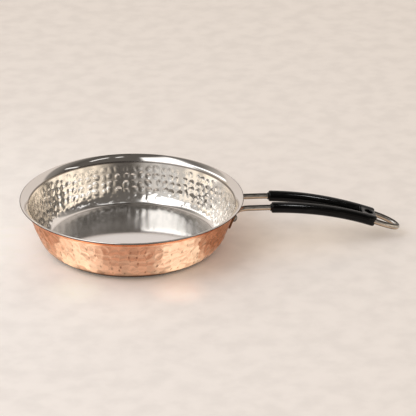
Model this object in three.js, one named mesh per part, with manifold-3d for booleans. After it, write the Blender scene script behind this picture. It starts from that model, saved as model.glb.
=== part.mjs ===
import * as THREE from 'three';
import { mergeVertices } from 'three/addons/utils/BufferGeometryUtils.js';
import Module from 'manifold-3d';

// A frying pan: a copper shell and a steel liner pressed together over an aluminium core,
// with a riveted wire handle that carries a moulded twin grip.
// Millimetres, +Z up, handle along +X, origin at the centre of the flat underside.

const degrees = THREE.MathUtils.degToRad;

// Pan body, measured on the outside of the copper
const BASE_RADIUS = 76.2;
const FOOT_FILLET = 27;
const WALL_TILT = degrees(20);
const SHOULDER_HEIGHT = 48.2;
const SHOULDER_BEND = 1.2;
const LIP_WIDTH = 7.35;
const LIP_RISE = 6.4;
const LIP_SWEEP = degrees(20);

// Layers of the body, from the outside in
const COPPER_THICKNESS = 1.0;
const CORE_THICKNESS = 3.9;
const STEEL_THICKNESS = 0.7;

// Play between two pieces that touch
const CLEARANCE = 0.3;

// Handle wire: one round rod bent to a long U, its two ends hammered flat on the pan wall
const ROD_RADIUS = 3;
const ROD_BELOW_SHOULDER = 0.5;
const ROD_HALF_SPACING = 15.4;
const LOOP_HALF_SPACING = 10.8;
const ARCH_START = 138;
const ARCH_RADIUS = 350;
const ARCH_LENGTH = 131;
const LOOP_LENGTH = 23.7;
const BEND_REACH = 13;
const BEND_FALL = 7;
const PADDLE_WIDTH = 11;
const PADDLE_THICKNESS = 2.2;
const PADDLE_TAIL = 13.2;

// Grip: two legs over the rods, joined by a flat bridge with a hanging hole
const GRIP_START = 9.6;
const GRIP_LENGTH = 117.9;
const GRIP_RADIUS = 5.9;
const GRIP_NECK_LENGTH = 1;
const GRIP_NECK_WALL = 0.5;
const GRIP_SHOULDER_LENGTH = 2;
const GRIP_CORNER_RADIUS = 7.5;
const BRIDGE_LENGTH = 16.5;
const BRIDGE_THICKNESS = 10;
const BRIDGE_HOLE_RADIUS = 4.7;

// Rivets: a domed head outside, a low head inside
const RIVET_DROP = 14.6;
const RIVET_SHANK_RADIUS = 2.5;
const RIVET_HEAD_RADIUS = 4.2;
const RIVET_HEAD_HEIGHT = 3.2;
const RIVET_TAIL_RADIUS = 4.6;
const RIVET_TAIL_HEIGHT = 1.8;

// Fineness of the facets
const TURN_STEPS = 60;
const FILLET_STEPS = 6;
const SHOULDER_STEPS = 2;
const LIP_STEPS = 2;
const SECTION_SIDES = 12;
const PADDLE_STEPS = 6;
const BEND_STEPS = 6;
const ARCH_STEPS = 15;
const LOOP_STEPS = 6;
const GRIP_STEPS = 11;
const GRIP_SHOULDER_STEPS = 3;
const GRIP_CORNER_STEPS = 6;
const RIVET_SIDES = 16;
const DOME_STEPS = 4;
const HOLE_SEGMENTS = 10;

const wasm = await Module();
wasm.setup();

// Turn a closed mesh into a solid that can be joined and cut.
function solidOf(geometry) {
  const bare = geometry.clone();
  bare.deleteAttribute('normal');
  bare.deleteAttribute('uv');
  const merged = mergeVertices(bare);
  return new wasm.Manifold(new wasm.Mesh({
    numProp: 3,
    vertProperties: new Float32Array(merged.attributes.position.array),
    triVerts: new Uint32Array(merged.index.array),
  }));
}

function geometryOf(solid) {
  const mesh = solid.getMesh();
  const geometry = new THREE.BufferGeometry();
  geometry.setAttribute('position', new THREE.BufferAttribute(mesh.vertProperties, 3));
  geometry.setIndex(new THREE.BufferAttribute(mesh.triVerts, 1));
  return geometry;
}

function pieceOf(name, geometry, color, roughness, metalness) {
  const faceted = geometry.index ? geometry.toNonIndexed() : geometry;
  faceted.computeVertexNormals();
  const mesh = new THREE.Mesh(faceted, new THREE.MeshStandardMaterial({ color, roughness, metalness }));
  mesh.name = name;
  return mesh;
}

// Revolve a profile of (radius, height) points, from the axis and back to it, about Z.
function revolve(profile, steps) {
  return new THREE.LatheGeometry(profile, steps).rotateX(Math.PI / 2);
}

// Skin a row of rings that have the same number of points, and close both ends.
function loft(rings) {
  const sides = rings[0].length;
  const points = rings.flat();
  const index = [];
  for (let ring = 0; ring + 1 < rings.length; ring++) {
    for (let side = 0; side < sides; side++) {
      const next = (side + 1) % sides;
      const here = ring * sides;
      const there = here + sides;
      index.push(here + side, there + side, here + next);
      index.push(here + next, there + side, there + next);
    }
  }
  const last = (rings.length - 1) * sides;
  for (let side = 1; side + 1 < sides; side++) {
    index.push(0, side, side + 1);
    index.push(last, last + side + 1, last + side);
  }
  const geometry = new THREE.BufferGeometry().setFromPoints(points);
  geometry.setIndex(index);
  return geometry;
}

// Directions and corners of the body's profile
const filletCentre = new THREE.Vector2(BASE_RADIUS, FOOT_FILLET);
const wallAlong = new THREE.Vector2(Math.sin(WALL_TILT), Math.cos(WALL_TILT));

// The outward normal of a wall that leans out by an angle from upright
function outward(angle) {
  return new THREE.Vector2(Math.cos(angle), -Math.sin(angle));
}

// Radius of the outer wall at a height
function wallRadius(height) {
  const foot = filletCentre.clone().addScaledVector(outward(WALL_TILT), FOOT_FILLET);
  return foot.x + (height - foot.y) * Math.tan(WALL_TILT);
}

const shoulder = new THREE.Vector2(wallRadius(SHOULDER_HEIGHT), SHOULDER_HEIGHT);

// The lip is an arc that leans out further towards the rim
const lipStart = Math.atan2(LIP_WIDTH, LIP_RISE) - LIP_SWEEP / 2;
const lipRadius = Math.hypot(LIP_WIDTH, LIP_RISE) / (2 * Math.sin(LIP_SWEEP / 2));
const lipLength = lipRadius * LIP_SWEEP;
const lipCentre = shoulder.clone().addScaledVector(outward(lipStart), lipRadius);

// A point on the lip at a depth inside the copper and a reach from the shoulder
function lipPoint(depth, reach) {
  const angle = lipStart + reach / lipRadius;
  return lipCentre.clone().addScaledVector(outward(angle), -lipRadius - depth);
}

// Angle on the foot fillet at which the layer at a depth reaches a height
function filletAngle(depth, height) {
  return Math.asin((height - FOOT_FILLET) / (FOOT_FILLET - depth));
}

// The surface that lies a depth inside the copper, from a height on the foot fillet up to the lip
function layer(depth, fromHeight, lipReach) {
  const points = [];
  const start = filletAngle(depth, fromHeight);
  for (let step = 0; step <= FILLET_STEPS; step++) {
    const angle = THREE.MathUtils.lerp(start, -WALL_TILT, step / FILLET_STEPS);
    points.push(outward(-angle).multiplyScalar(FOOT_FILLET - depth).add(filletCentre));
  }
  const tangent = SHOULDER_BEND * Math.tan((lipStart - WALL_TILT) / 2);
  const bendCentre = shoulder.clone()
    .addScaledVector(wallAlong, -tangent)
    .addScaledVector(outward(WALL_TILT), SHOULDER_BEND);
  for (let step = 0; step <= SHOULDER_STEPS; step++) {
    const angle = THREE.MathUtils.lerp(WALL_TILT, lipStart, step / SHOULDER_STEPS);
    points.push(bendCentre.clone().addScaledVector(outward(angle), -SHOULDER_BEND - depth));
  }
  for (let step = 1; step <= LIP_STEPS; step++) {
    points.push(lipPoint(depth, THREE.MathUtils.lerp(tangent, lipReach, step / LIP_STEPS)));
  }
  return points;
}

// Heights and depths of the stacked layers
const linerDepth = COPPER_THICKNESS + CLEARANCE;
const insideDepth = linerDepth + STEEL_THICKNESS;
const coreTop = linerDepth + CORE_THICKNESS;
const floorUnder = coreTop + CLEARANCE;
const floorTop = floorUnder + STEEL_THICKNESS;

function onAxis(height) {
  return new THREE.Vector2(0, height);
}

function copperShell() {
  const reach = lipLength - STEEL_THICKNESS - CLEARANCE;
  return revolve([
    onAxis(0),
    ...layer(0, 0, reach),
    ...layer(COPPER_THICKNESS, COPPER_THICKNESS, reach).reverse(),
    onAxis(COPPER_THICKNESS),
  ], TURN_STEPS);
}

// The liner's lip turns down at the rim and covers the edge of the copper.
function steelLiner() {
  return revolve([
    onAxis(floorUnder),
    ...layer(linerDepth, floorUnder, lipLength - STEEL_THICKNESS),
    lipPoint(0, lipLength - STEEL_THICKNESS),
    lipPoint(0, lipLength),
    ...layer(insideDepth, floorTop, lipLength).reverse(),
    onAxis(floorTop),
  ], TURN_STEPS);
}

// The core fills the dish between the copper base and the steel floor.
function heatCore() {
  const edge = [];
  for (let step = 0; step <= FILLET_STEPS; step++) {
    const angle = THREE.MathUtils.lerp(-Math.PI / 2, filletAngle(linerDepth, coreTop), step / FILLET_STEPS);
    edge.push(outward(-angle).multiplyScalar(FOOT_FILLET - linerDepth).add(filletCentre));
  }
  return revolve([onAxis(linerDepth), ...edge, onAxis(coreTop)], TURN_STEPS);
}

// Where the handle meets the wall: the paddle lies on the wall, and the rod leaves it level
const rodHeight = SHOULDER_HEIGHT - ROD_RADIUS - ROD_BELOW_SHOULDER;
const paddleDepth = CLEARANCE + PADDLE_THICKNESS / 2;
const cornerRadius = wallRadius(rodHeight) + paddleDepth / Math.cos(WALL_TILT);
const seatAzimuth = Math.asin(ROD_HALF_SPACING / cornerRadius);

// Directions at the seat of the rear end of the wire
const seatUp = new THREE.Vector3(
  Math.sin(WALL_TILT) * Math.cos(seatAzimuth),
  Math.sin(WALL_TILT) * Math.sin(seatAzimuth),
  Math.cos(WALL_TILT),
);
const seatOut = new THREE.Vector3(
  Math.cos(WALL_TILT) * Math.cos(seatAzimuth),
  Math.cos(WALL_TILT) * Math.sin(seatAzimuth),
  -Math.sin(WALL_TILT),
);
const corner = new THREE.Vector3(
  cornerRadius * Math.cos(seatAzimuth),
  ROD_HALF_SPACING,
  rodHeight,
);
const rivetBelowCorner = (RIVET_DROP - ROD_RADIUS - ROD_BELOW_SHOULDER) / Math.cos(WALL_TILT);
const rivetSeat = corner.clone().addScaledVector(seatUp, -rivetBelowCorner);

// A point of the arched handle at a distance along it, at mid-width
function archPoint(distance) {
  const angle = distance / ARCH_RADIUS;
  return new THREE.Vector3(
    ARCH_START + ARCH_RADIUS * Math.sin(angle),
    0,
    rodHeight - ARCH_RADIUS * (1 - Math.cos(angle)),
  );
}

function archAlong(distance) {
  const angle = distance / ARCH_RADIUS;
  return new THREE.Vector3(Math.cos(angle), 0, -Math.sin(angle));
}

function archUnder(distance) {
  const angle = distance / ARCH_RADIUS;
  return new THREE.Vector3(-Math.sin(angle), 0, -Math.cos(angle));
}

// The rods draw together from the start of the arch to the far end of the grip.
function archHalfSpacing(distance) {
  const share = THREE.MathUtils.smoothstep(distance, 0, GRIP_START + GRIP_LENGTH);
  return THREE.MathUtils.lerp(ROD_HALF_SPACING, LOOP_HALF_SPACING, share);
}

function archStation(distance) {
  const point = archPoint(distance);
  point.y = archHalfSpacing(distance);
  return { point, under: archUnder(distance) };
}

// The hammered end of the wire, from its rounded tail up to the bend
function paddleStations() {
  const length = rivetBelowCorner + PADDLE_TAIL - BEND_FALL;
  const roundTail = PADDLE_WIDTH / 2;
  const stations = [];
  for (let step = 0; step <= PADDLE_STEPS; step++) {
    const share = (step / PADDLE_STEPS) ** 2;
    const distance = share * length;
    const fall = Math.max(0, 1 - (distance + CLEARANCE) / roundTail);
    stations.push({
      point: corner.clone().addScaledVector(seatUp, distance - length - BEND_FALL),
      under: seatOut.clone(),
      width: PADDLE_WIDTH * Math.sqrt(1 - fall * fall),
      thickness: PADDLE_THICKNESS,
      flatness: 1,
    });
  }
  return stations;
}

// The wire swells from the flat paddle to the full round rod as it bends away from the wall.
function bendStations() {
  const down = new THREE.Vector3(0, 0, -1);
  const bend = new THREE.QuadraticBezierCurve3(
    corner.clone().addScaledVector(seatUp, -BEND_FALL),
    corner,
    corner.clone().add(new THREE.Vector3(BEND_REACH, 0, 0)),
  );
  const stations = [];
  for (let step = 1; step <= BEND_STEPS; step++) {
    const share = step / BEND_STEPS;
    const swell = THREE.MathUtils.smoothstep(share, 0, 1);
    stations.push({
      point: bend.getPoint(share),
      under: seatOut.clone().lerp(down, share),
      width: THREE.MathUtils.lerp(PADDLE_WIDTH, 2 * ROD_RADIUS, swell),
      thickness: THREE.MathUtils.lerp(PADDLE_THICKNESS, 2 * ROD_RADIUS, swell),
      flatness: 1 - swell,
    });
  }
  return stations;
}

function archStations() {
  const stations = [];
  for (let step = 0; step <= ARCH_STEPS; step++) {
    stations.push(archStation(ARCH_LENGTH * step / ARCH_STEPS));
  }
  return stations;
}

// A quarter of a long oval, from the end of the arch to the tip of the hanging loop
function loopStations() {
  const stations = [];
  for (let step = 1; step <= LOOP_STEPS; step++) {
    const turn = (Math.PI / 2) * step / LOOP_STEPS;
    const distance = ARCH_LENGTH + LOOP_LENGTH * Math.sin(turn);
    const point = archPoint(distance);
    point.y = LOOP_HALF_SPACING * Math.cos(turn);
    stations.push({ point, under: archUnder(distance) });
  }
  return stations;
}

function mirrored(station) {
  const flip = new THREE.Vector3(1, -1, 1);
  return {
    ...station,
    point: station.point.clone().multiply(flip),
    under: station.under.clone().multiply(flip),
  };
}

// Rings round a row of stations: round by default, and flattened where a station says so
function ringsAlong(stations, radiusAt) {
  return stations.map((station, place) => {
    const before = stations[Math.max(place - 1, 0)].point;
    const after = stations[Math.min(place + 1, stations.length - 1)].point;
    const along = after.clone().sub(before).normalize();
    const across = new THREE.Vector3().crossVectors(along, station.under).normalize();
    const under = new THREE.Vector3().crossVectors(across, along);
    const halfWidth = station.width ? station.width / 2 : radiusAt(place);
    const halfThickness = station.thickness ? station.thickness / 2 : radiusAt(place);
    const power = 1 - (station.flatness ?? 0) / 2;
    const ring = [];
    for (let side = 0; side < SECTION_SIDES; side++) {
      const angle = 2 * Math.PI * side / SECTION_SIDES;
      const wide = Math.sign(Math.cos(angle)) * Math.abs(Math.cos(angle)) ** power;
      const deep = Math.sign(Math.sin(angle)) * Math.abs(Math.sin(angle)) ** power;
      ring.push(station.point.clone()
        .addScaledVector(across, halfWidth * wide)
        .addScaledVector(under, halfThickness * deep));
    }
    return ring;
  });
}

function handleWire() {
  const rear = [...paddleStations(), ...bendStations(), ...archStations(), ...loopStations()];
  const front = rear.slice(0, -1).map(mirrored);
  return loft(ringsAlong([...front, ...rear.reverse()], () => ROD_RADIUS));
}

// One leg of the grip: a short neck on the rod, a round shoulder, then full round to past the far end
function gripLeg(side) {
  const neckRadius = ROD_RADIUS + CLEARANCE + GRIP_NECK_WALL;
  const places = [0];
  for (let step = 0; step < GRIP_SHOULDER_STEPS; step++) {
    places.push(GRIP_NECK_LENGTH + GRIP_SHOULDER_LENGTH * step / GRIP_SHOULDER_STEPS);
  }
  const full = GRIP_NECK_LENGTH + GRIP_SHOULDER_LENGTH;
  const straight = GRIP_LENGTH + GRIP_RADIUS - full;
  for (let step = 0; step <= GRIP_STEPS; step++) {
    places.push(full + straight * step / GRIP_STEPS);
  }
  const radiusAt = (place) => {
    const share = (places[place] - GRIP_NECK_LENGTH) / GRIP_SHOULDER_LENGTH;
    const fall = 1 - THREE.MathUtils.clamp(share, 0, 1);
    return THREE.MathUtils.lerp(neckRadius, GRIP_RADIUS, Math.sqrt(1 - fall * fall));
  };
  const rear = places.map((place) => archStation(GRIP_START + place));
  return loft(ringsAlong(side > 0 ? rear : rear.map(mirrored), radiusAt));
}

// The channel that a rod fills, longer than the grip at both ends
function gripBore(side) {
  const rear = [];
  const over = 2 * GRIP_RADIUS;
  for (let step = 0; step <= ARCH_STEPS; step++) {
    rear.push(archStation(GRIP_START - over + (GRIP_LENGTH + 2 * over) * step / ARCH_STEPS));
  }
  return loft(ringsAlong(side > 0 ? rear : rear.map(mirrored), () => ROD_RADIUS + CLEARANCE));
}

// Extrude an outline of (along, across) points both ways from the middle of the bridge.
function atBridge(outline, thickness, curveSegments) {
  const plate = new THREE.ExtrudeGeometry(outline, { depth: thickness, bevelEnabled: false, curveSegments });
  const middle = GRIP_START + GRIP_LENGTH - BRIDGE_LENGTH / 2;
  const along = archAlong(middle);
  const up = archUnder(middle).negate();
  const across = new THREE.Vector3().crossVectors(up, along);
  const placed = new THREE.Matrix4().makeBasis(along, across, up);
  placed.setPosition(archPoint(middle).addScaledVector(up, -thickness / 2));
  return plate.applyMatrix4(placed);
}

// The flat bridge between the legs at the far end of the grip
function gripBridge() {
  const end = BRIDGE_LENGTH / 2;
  const halfWidth = LOOP_HALF_SPACING;
  const outline = new THREE.Shape();
  outline.moveTo(-end, -halfWidth);
  outline.lineTo(end, -halfWidth);
  outline.lineTo(end, halfWidth);
  outline.lineTo(-end, halfWidth);
  outline.closePath();
  const hole = new THREE.Path();
  hole.absarc(0, 0, BRIDGE_HOLE_RADIUS, 0, 2 * Math.PI, true);
  outline.holes.push(hole);
  return atBridge(outline, BRIDGE_THICKNESS, HOLE_SEGMENTS);
}

// All that lies before the far end of the grip, which is round at its corners when seen from above
function gripPlan() {
  const end = BRIDGE_LENGTH / 2;
  const halfWidth = LOOP_HALF_SPACING + GRIP_RADIUS;
  const corner = GRIP_CORNER_RADIUS;
  const outline = new THREE.Shape();
  outline.moveTo(-GRIP_LENGTH, -GRIP_LENGTH);
  outline.lineTo(end - corner, -halfWidth);
  outline.absarc(end - corner, corner - halfWidth, corner, -Math.PI / 2, 0, false);
  outline.absarc(end - corner, halfWidth - corner, corner, 0, Math.PI / 2, false);
  outline.lineTo(-GRIP_LENGTH, GRIP_LENGTH);
  outline.closePath();
  return atBridge(outline, GRIP_LENGTH, GRIP_CORNER_STEPS);
}

function grip() {
  const legs = solidOf(gripLeg(1)).add(solidOf(gripLeg(-1)));
  const moulded = legs.add(solidOf(gripBridge())).intersect(solidOf(gripPlan()));
  return moulded.subtract(solidOf(gripBore(1))).subtract(solidOf(gripBore(-1)));
}

// Turn a solid made about Z so that it stands on the wall at the rear or front rivet.
function atRivet(geometry, side) {
  const flip = new THREE.Vector3(1, side, 1);
  const out = seatOut.clone().multiply(flip);
  const turned = new THREE.Quaternion().setFromUnitVectors(new THREE.Vector3(0, 0, 1), out);
  const seat = rivetSeat.clone().multiply(flip);
  return geometry.applyQuaternion(turned).translate(seat.x, seat.y, seat.z);
}

// Distances along the rivet, from the middle of the paddle: outer head seat and inner head seat
const headSeat = PADDLE_THICKNESS / 2 + CLEARANCE;
const tailSeat = -paddleDepth - insideDepth - CLEARANCE;

function dome(radius, seat, height) {
  const points = [];
  for (let step = 0; step <= DOME_STEPS; step++) {
    const angle = (Math.PI / 2) * step / DOME_STEPS;
    points.push(new THREE.Vector2(radius * Math.cos(angle), seat + height * Math.sin(angle)));
  }
  points[DOME_STEPS].x = 0;
  return points;
}

function rivet(side) {
  const shape = revolve([
    ...dome(RIVET_TAIL_RADIUS, tailSeat, -RIVET_TAIL_HEIGHT).reverse(),
    new THREE.Vector2(RIVET_SHANK_RADIUS, tailSeat),
    new THREE.Vector2(RIVET_SHANK_RADIUS, headSeat),
    ...dome(RIVET_HEAD_RADIUS, headSeat, RIVET_HEAD_HEIGHT),
  ], RIVET_SIDES);
  return atRivet(shape, side);
}

// The hole that a rivet passes through in the paddle and in both walls
function rivetHole(side) {
  const length = 2 * (headSeat - tailSeat);
  const drill = new THREE.CylinderGeometry(
    RIVET_SHANK_RADIUS + CLEARANCE, RIVET_SHANK_RADIUS + CLEARANCE, length, RIVET_SIDES,
  ).rotateX(Math.PI / 2);
  return solidOf(atRivet(drill, side));
}

function drilled(geometry) {
  return geometryOf(solidOf(geometry).subtract(rivetHole(1)).subtract(rivetHole(-1)));
}

const pan = new THREE.Group();
pan.add(pieceOf('copper_shell', drilled(copperShell()), 0xc98a66, 0.3, 1));
pan.add(pieceOf('steel_liner', drilled(steelLiner()), 0xc9c4bd, 0.18, 1));
pan.add(pieceOf('heat_core', heatCore(), 0xb8bcc0, 0.5, 1));
pan.add(pieceOf('handle_wire', drilled(handleWire()), 0x9a9a96, 0.3, 1));
pan.add(pieceOf('grip', geometryOf(grip()), 0x101010, 0.25, 0));
pan.add(pieceOf('front_rivet', rivet(-1), 0xb9b9b6, 0.25, 1));
pan.add(pieceOf('rear_rivet', rivet(1), 0xb9b9b6, 0.25, 1));

export default pan;
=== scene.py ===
import math

import bpy
import numpy as np
from bpy.props import FloatProperty, FloatVectorProperty, IntProperty, PointerProperty
from mathutils import Matrix, Vector


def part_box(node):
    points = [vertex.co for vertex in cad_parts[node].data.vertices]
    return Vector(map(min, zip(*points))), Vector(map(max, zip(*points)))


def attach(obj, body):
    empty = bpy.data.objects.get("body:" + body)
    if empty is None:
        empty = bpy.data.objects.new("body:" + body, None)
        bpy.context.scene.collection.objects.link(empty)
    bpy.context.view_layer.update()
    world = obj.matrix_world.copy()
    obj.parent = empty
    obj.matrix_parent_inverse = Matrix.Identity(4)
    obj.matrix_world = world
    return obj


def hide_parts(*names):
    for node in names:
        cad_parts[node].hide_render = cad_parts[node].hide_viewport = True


bl_info = {
    "name": "Hammered frying pan",
    "version": (1, 0, 0),
    "blender": (4, 5, 0),
    "location": "View3D > Sidebar > Pan",
    "description": "A hammered copper frying pan with a riveted wire handle, and a stage to show it on",
    "category": "Add Mesh",
}

# Metres, +Z up, handle along +X, origin at the centre of the flat underside
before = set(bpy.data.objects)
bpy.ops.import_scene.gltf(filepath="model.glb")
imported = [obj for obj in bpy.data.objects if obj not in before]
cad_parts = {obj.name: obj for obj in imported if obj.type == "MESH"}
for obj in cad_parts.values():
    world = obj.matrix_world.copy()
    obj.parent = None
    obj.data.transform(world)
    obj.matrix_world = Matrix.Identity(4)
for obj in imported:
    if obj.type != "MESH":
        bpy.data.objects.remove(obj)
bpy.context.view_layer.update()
LINER_LOW, LINER_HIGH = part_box("steel_liner")

BODY = "root"
GRIP_PIECE = "moulded_twin_grip"
MM = 0.001


def degrees(*angles):
    """Angles that are given in degrees."""
    return tuple(math.radians(part) for part in angles)


def cosines(*angles):
    """Cosines of angles that are given in degrees."""
    return tuple(math.cos(math.radians(part)) for part in angles)


# Spacing of the mesh along the hammered side of a sheet, and along what is flat or hidden
FINE_STEP = 0.95 * MM
COARSE_STEP = 6 * MM

# Steps round the pan, sides of the wire, the rivets and the floor, and rings of the floor
TURN_STEPS = 840
WIRE_SIDES = 32
RIVET_SIDES = 48
FLOOR_SIDES = 96
FLOOR_RINGS = 8

# Steps of the small roundings of the liner, and of the rivets' two heads
HEM_STEPS = 4
BEAD_STEPS = 6
CREASE_STEPS = 4
TAIL_STEPS = 11
HEAD_STEPS = 13

# Sections of one half of the wire: along its hammered end, its bend, its arch and its loop
PADDLE_SECTIONS = 28
BEND_SECTIONS = 20
ARCH_SECTIONS = 90
LOOP_SECTIONS = 18

# Keeps the tip of a hammered end from closing to a point
TIP_OFFSET = 0.1 * MM

# Grid on which the grip is skinned, and how its points then settle on the true surface
GRIP_CELL = 0.45 * MM
SETTLE_REACH = GRIP_CELL / 50
SETTLE_LIMIT = 20 * SETTLE_REACH
SETTLE_ROUNDS = 4
LEAST_STEEPNESS = 0.25

# How hammer marks vary: size and depth as shares, how unevenly one is struck, how far it is from round
MARK_SIZE = (0.84, 1.14)
MARK_DEPTH = (0.7, 1.25)
MARK_LEAN = 0.35
MARK_OVAL = 1.25

# Depth of the top and the bottom row of marks, as a share of the others
END_ROW_DEPTH = 0.65

# Nicks between two marks, cut in and darkened with painted shade: half the width, half the length, and
# the strengths that are cut off at 0 and 1
NICK_WIDTH = 0.85 * MM
NICK_LENGTH = 1.8 * MM
NICK_STRENGTH = (-0.7, 1.2)

# The dark line of painted shade where the liner's wall turns out to the lip: width, strength and a margin
# for rounding
SHOULDER_LINE = 1.1 * MM
SHOULDER_SHADE = 0.7
TOLERANCE = 0.01 * MM

# The part of the pan's floor that is rubbed smooth and carries a painted sheen: a disc, with soft edges
# of its gloss and of its painted sheen
RUBBED_AND_SHEEN_CENTRE = (0, -93 * MM, 6 * MM)
RUBBED_GLOSS_EDGE = (108 * MM, 132 * MM)
PAINTED_SHEEN_EDGE = (104 * MM, 128 * MM)

# Zones of the wire, by the depth below its middle: where a painted reflection of the floor turns it warm
# and where the painted reflection of the copper fades, then painted shade at the bottom and, by the
# height above its middle, at the top
WIRE_FLOOR_REFLECTION = (-0.5 * MM, 0.3 * MM)
WIRE_COPPER_REFLECTION_FADE = (-0.2 * MM, 0.8 * MM)
WIRE_BOTTOM_SHADE = (1.3 * MM, 1.9 * MM)
WIRE_TOP_SHADE = (2.1 * MM, 2.6 * MM)

# Painted shade on the edges of the hammered ends, by the distance from their mid-line
PADDLE_EDGE_SHADE = (3.6 * MM, 5 * MM)

# How much paler the grip is where it is scuffed
SCUFF_LIFT = 0.008

# Tones of the floor, as shares of its colour: light and dark clouds, and the dark ones that metal shows
FLOOR_TONES = (1.025, 0.955, 0.55)

# Painted gleam on the floor that only metal shows, which the copper reflects: two patches before the pan,
# and a ring that ends along +X
FLOOR_PATCHES = ((-85 * MM, -85 * MM, 0), (66 * MM, -100 * MM, 0))
FLOOR_PATCH_REACH = (6 * MM, 55 * MM)
FLOOR_RING = (84 * MM, 95 * MM, 104 * MM, 135 * MM)
FLOOR_RING_END = (75 * MM, 110 * MM)
FLOOR_RING_STRENGTH = 0.26

# Painted soft light on the floor that only the camera sees: place, reach and strength of each glow
GLOWS = (
    ((-260 * MM, 60 * MM, 0), 420 * MM, (0.09, 0.10, 0.10)),
    ((-112 * MM, 10 * MM, 0), 130 * MM, (0.11, 0.13, 0.12)),
    ((-15 * MM, -118 * MM, 0), 125 * MM, (0.09, 0.08, 0.065)),
    ((-64 * MM, -108 * MM, 0), 44 * MM, (0.09, 0.10, 0.06)),
    ((42 * MM, -120 * MM, 0), 40 * MM, (0.21, 0.11, 0.06)),
    ((168 * MM, -16 * MM, 0), 78 * MM, (0.10, 0.07, 0.04)),
    ((228 * MM, 0, 0), 78 * MM, (0.10, 0.07, 0.04)),
)

# Where the pan's foot shades the floor, as metal shows it
FOOT_SHADE = (85 * MM, 97 * MM)

# Fields of the room that metal shows: first by the angle to the camera's right, then to its left
RIGHT_CARD = degrees(14, 52)
DARK_CORNER = degrees(78, 112)
LEFT_SIDE = degrees(-8, 30)
LEFT_CARD = degrees(40, 85)

# Fields that have a top: the angle to the left, or to either side, and the height above the horizon
LEFT_FIELD = degrees(55, 100)
LEFT_FIELD_TOP = degrees(34, 50)
REAR_FIELD = degrees(90, 120)
REAR_FIELD_TOP = degrees(68, 78)
BACKDROP_SIDE = degrees(121, 128)
BACKDROP_TOP = degrees(60, 70)

# Height above the horizon over which the room turns into the ceiling
CEILING_EDGE = degrees(19, 30)

# Bright fields: from side to side and from bottom to top. The strip slopes with the angle to the right
HALO_WIDTH = degrees(-110, -60, -44, -4)
HALO_HEIGHT = degrees(2, 34, 60, 75)
KEY_WIDTH = degrees(-92, -76, -24, -12)
KEY_HEIGHT = degrees(26, 38, 66, 75)
STRIP_WIDTH = degrees(-130, -124, -84, -74)
STRIP_HEIGHT = degrees(97, 100, 102, 105)
STRIP_SLOPE = 0.6

# Thin lamps that metal shows, from end to end: degrees right of the camera and above the horizon
SPARKS = (((95, 46), (79, 47)), ((71, 62.5), (57.5, 71.5)), ((33, 74), (28, 75)))

# The soft edge along a thin lamp, and the degrees over which it fades past its ends
SPARK_EDGE = degrees(0.4, 2.2)
SPARK_FADE = 2.5

# Square lamps: degrees right of the camera and above the horizon, then distance and width in metres
KEY_LAMP = (-58, 48, 1.5, 1.08)
LEFT_GLEAM_LAMP = (-58, 48, 1.5, 0.6)
TOP_GLEAM_LAMP = (54, 63, 1.5, 0.2)


def amount(name, default, description, **kind):
    """A setting that is a number."""
    return FloatProperty(name=name, default=default, description=description, **kind)


def length(name, default, description):
    """A setting in metres."""
    return amount(name, default, description, unit="LENGTH", precision=5)


def angle(name, default, description):
    """A setting that is an angle, given in degrees."""
    return amount(name, math.radians(default), description, subtype="ANGLE")


def fraction(name, default, description):
    """A setting from 0 to 1."""
    return amount(name, default, description, subtype="FACTOR", min=0, max=1)


def whole(name, default, description):
    """A setting that is a whole number."""
    return IntProperty(name=name, default=default, description=description)


def colour(name, default, description):
    """A setting that is a colour."""
    return FloatVectorProperty(
        name=name, default=default, description=description, subtype="COLOR", size=3, min=0, max=2
    )


class PanBody(bpy.types.PropertyGroup):
    """Sizes of the pan body, on the outside of the copper."""

    base_radius: length("Base radius", 76.2 * MM, "Radius of the flat underside")
    foot_fillet: length("Foot fillet", 27 * MM, "Radius from the underside to the wall")
    wall_tilt: angle("Wall tilt", 20, "Lean of the wall from upright")
    shoulder_height: length("Shoulder height", 48.2 * MM, "Height of the turn from the wall to the lip")
    shoulder_bend: length("Shoulder bend", 1.2 * MM, "Radius of the turn at the shoulder")
    lip_rise: length("Lip rise", 6.4 * MM, "Height of the lip above the shoulder")
    lip_sweep: angle("Lip sweep", 20, "Extra lean of the lip at the rim")
    rim_radius: length("Rim radius", LINER_HIGH.y, "Radius of the outer edge of the lip")
    copper_thickness: length("Copper thickness", 1 * MM, "Thickness of the copper shell")
    steel_thickness: length("Steel thickness", 0.7 * MM, "Thickness of the steel liner")
    clearance: length("Clearance", 0.3 * MM, "Play between two pieces that touch")
    hem_round: length("Hem rounding", 0.65 * MM, "Rounding of the inner edge of the rim")
    seam_radius: length("Seam radius", 0.35 * MM, "Radius of the dark bead under the edge of the rim")
    seam_step: length("Seam step", 0.45 * MM, "How far the bead stands out past the edge of the rim")
    crease_round: length("Crease rounding", 1.1 * MM, "Reach of the rounding from floor to wall")


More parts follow.
